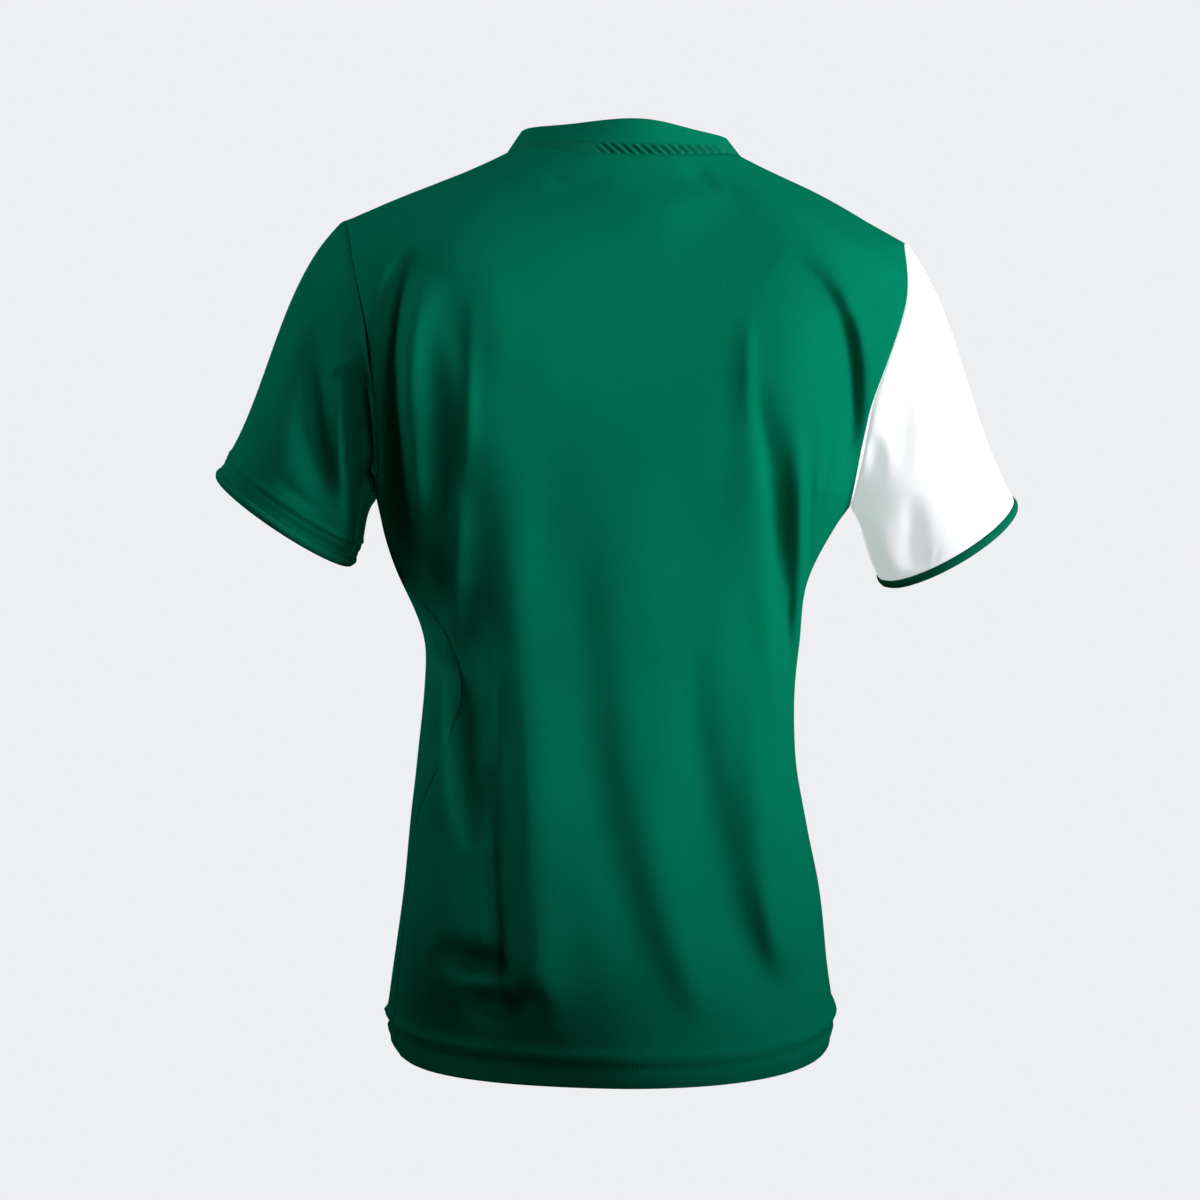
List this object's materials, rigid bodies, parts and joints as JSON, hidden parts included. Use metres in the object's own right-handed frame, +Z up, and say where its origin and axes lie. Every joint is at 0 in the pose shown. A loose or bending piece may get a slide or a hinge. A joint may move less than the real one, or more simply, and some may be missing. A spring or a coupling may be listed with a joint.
{
  "type": "football jersey",
  "caption": "Short-sleeved football jersey filled out as worn, with a short stand collar, one contrasting sleeve, bound cuffs and a dropped back hem.",
  "frame": {"origin": "middle of the neck opening, level with the top of the shoulders, where the wearer carries the garment", "axes": "+Z up; the front of the garment faces -Y; the wearer's left, with the green sleeve, is towards +X"},
  "size_m": [0.6084, 0.2388, 0.7077],
  "materials": {
    "green_knit": "smooth satin polyester knit",
    "white_knit": "smooth satin polyester knit",
    "green_trim": "ribbed polyester binding"
  },
  "bodies": {
    "root": {"back": "green_knit", "front": "green_knit", "sleeve_left": "green_knit", "sleeve_right": "white_knit", "collar": "green_knit", "collar_tape": "green_trim", "cuff_binding_left": "green_trim", "cuff_binding_right": "green_trim"}
  },
  "joints": []
}
